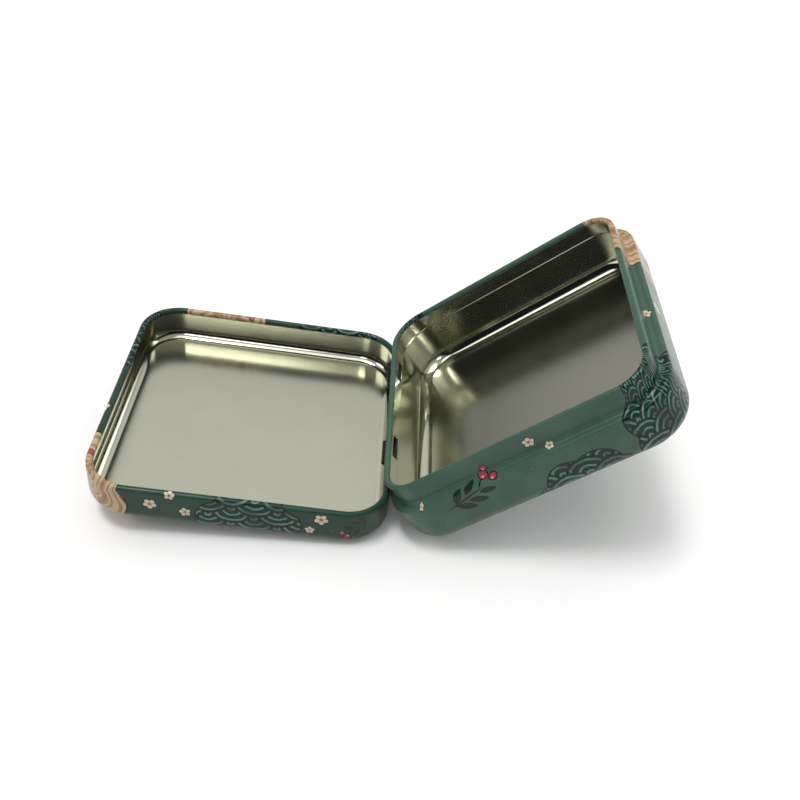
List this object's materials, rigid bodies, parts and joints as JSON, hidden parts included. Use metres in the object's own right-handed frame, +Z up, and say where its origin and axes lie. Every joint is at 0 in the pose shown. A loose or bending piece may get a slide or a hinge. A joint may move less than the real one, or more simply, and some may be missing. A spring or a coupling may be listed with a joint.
{
  "type": "square hinged tin box",
  "caption": "Square tinplate box with rounded corners, standing open: a shallow lid tray and a deeper necked base tray, joined along one side by a rolled-curl hinge.",
  "frame": {"origin": "middle of the open tin's footprint, on the surface it stands on", "axes": "+Z up; +X from the lid's front edge across the hinge to the base, at right angles to the hinge; +Y along the hinge"},
  "size_m": [0.1158, 0.062, 0.0487],
  "materials": {
    "base_tinplate": "tinplate printed sage green outside and lacquered bare metal inside",
    "lid_tinplate": "tinplate printed sage green outside and satin bare metal inside"
  },
  "bodies": {
    "base": {"base": "base_tinplate"},
    "lid": {"lid": "lid_tinplate"}
  },
  "joints": [
    {"name": "lid_hinge", "type": "hinge", "parent": "base", "child": "lid", "pos_m": [0.00393, 0, 0.00812], "axis": [0, 1, 0], "range_deg": [0, 136.82]}
  ]
}
